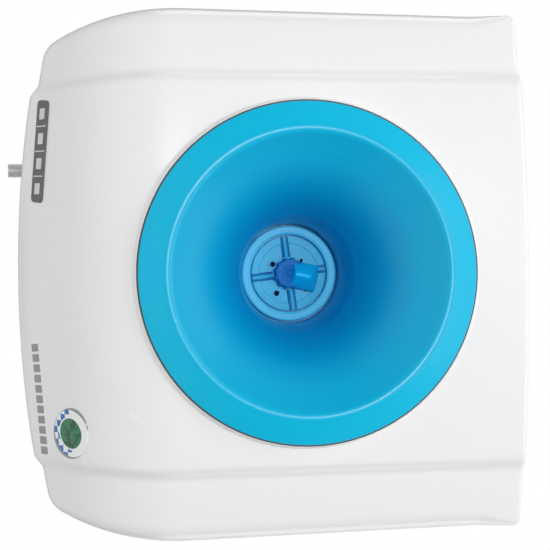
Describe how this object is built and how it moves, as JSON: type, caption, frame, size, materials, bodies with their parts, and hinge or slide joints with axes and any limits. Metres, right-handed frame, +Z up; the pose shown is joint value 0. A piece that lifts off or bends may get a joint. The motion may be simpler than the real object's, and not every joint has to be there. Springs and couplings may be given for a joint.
{
  "type": "instant water heater",
  "caption": "Wall-hung small-tank electric water heater: white moulded case, blue flared front bowl with a turning knob in its throat, water connections in a recess underneath.",
  "frame": {"origin": "on the wall face of the back plate, midway across, 125.8 mm above the lowest line of the case", "axes": "+Z up, +X to the right as seen from the front, +Y into the wall, so the front faces -Y"},
  "size_m": [0.267, 0.213, 0.261],
  "materials": {
    "case_white": "glossy",
    "bowl_blue": "glossy",
    "ring_blue": "glossy",
    "disc_blue": "glossy",
    "knob_blue": "glossy",
    "seal_rubber": "matt",
    "zinc_steel": "satin",
    "stainless": "satin",
    "brass": "satin",
    "copper_sheath": "satin",
    "black_plastic": "matt",
    "cream_plastic": "matt",
    "board_green": "satin",
    "lamp_lens": "clear",
    "strip_grey": "satin",
    "strip_silver": "satin",
    "badge_film": "glossy",
    "inlet_blue": "satin",
    "outlet_red": "satin",
    "wire_red": "matt"
  },
  "bodies": {
    "case": {"front_cover": "case_white", "back_plate": "case_white", "bowl": "bowl_blue", "bowl_seal": "seal_rubber", "bowl_screws": "zinc_steel", "throat_ring": "ring_blue", "lamp_disc": "disc_blue", "thermostat_body": "cream_plastic", "thermostat_bracket": "zinc_steel", "thermostat_capillary": "brass", "bulb_clips": "zinc_steel", "lamp_board": "board_green", "indicator_lamps": "lamp_lens", "board_screws": "zinc_steel", "name_strip": "strip_grey", "model_strip": "strip_silver", "round_badge": "badge_film", "tank_shell": "stainless", "tank_top": "stainless", "tank_bottom_plate": "stainless", "element_gasket": "seal_rubber", "element_flange": "brass", "heating_element": "copper_sheath", "element_terminals": "zinc_steel", "flange_studs": "zinc_steel", "inlet_pipe": "stainless", "outlet_pipe": "stainless", "outlet_standpipe": "stainless", "inlet_collar": "inlet_blue", "outlet_collar": "outlet_red", "relief_body": "stainless", "relief_spring": "zinc_steel", "upper_tank_strap": "zinc_steel", "lower_tank_strap": "zinc_steel", "strap_screws": "zinc_steel", "cutout_body": "black_plastic", "reset_spring": "zinc_steel", "terminal_block": "cream_plastic", "earth_stud": "brass", "cable_gland": "black_plastic", "gland_nut": "black_plastic", "fusible_plug": "brass", "wire_harness": "wire_red", "cover_screws": "zinc_steel"},
    "knob": {"control_knob": "knob_blue", "knob_spindle": "zinc_steel"},
    "reset": {"reset_button": "outlet_red"},
    "poppet": {"relief_poppet": "brass"}
  },
  "joints": [
    {"name": "knob_turn", "type": "hinge", "parent": "case", "child": "knob", "pos_m": [0, -0.15, 0.0155], "axis": [0, 1, 0], "range_deg": [-135, 135]},
    {"name": "reset_press", "type": "slide", "parent": "case", "child": "reset", "axis": [0, 0, 1], "range_m": [0, 0.002], "stiffness_N_per_m": 600, "springref_m": -0.003, "deforming": ["reset_spring"]},
    {"name": "relief_open", "type": "slide", "parent": "case", "child": "poppet", "axis": [0, 0, -1], "range_m": [0, 0.0025], "stiffness_N_per_m": 3000, "springref_m": -0.003, "deforming": ["relief_spring"]}
  ]
}
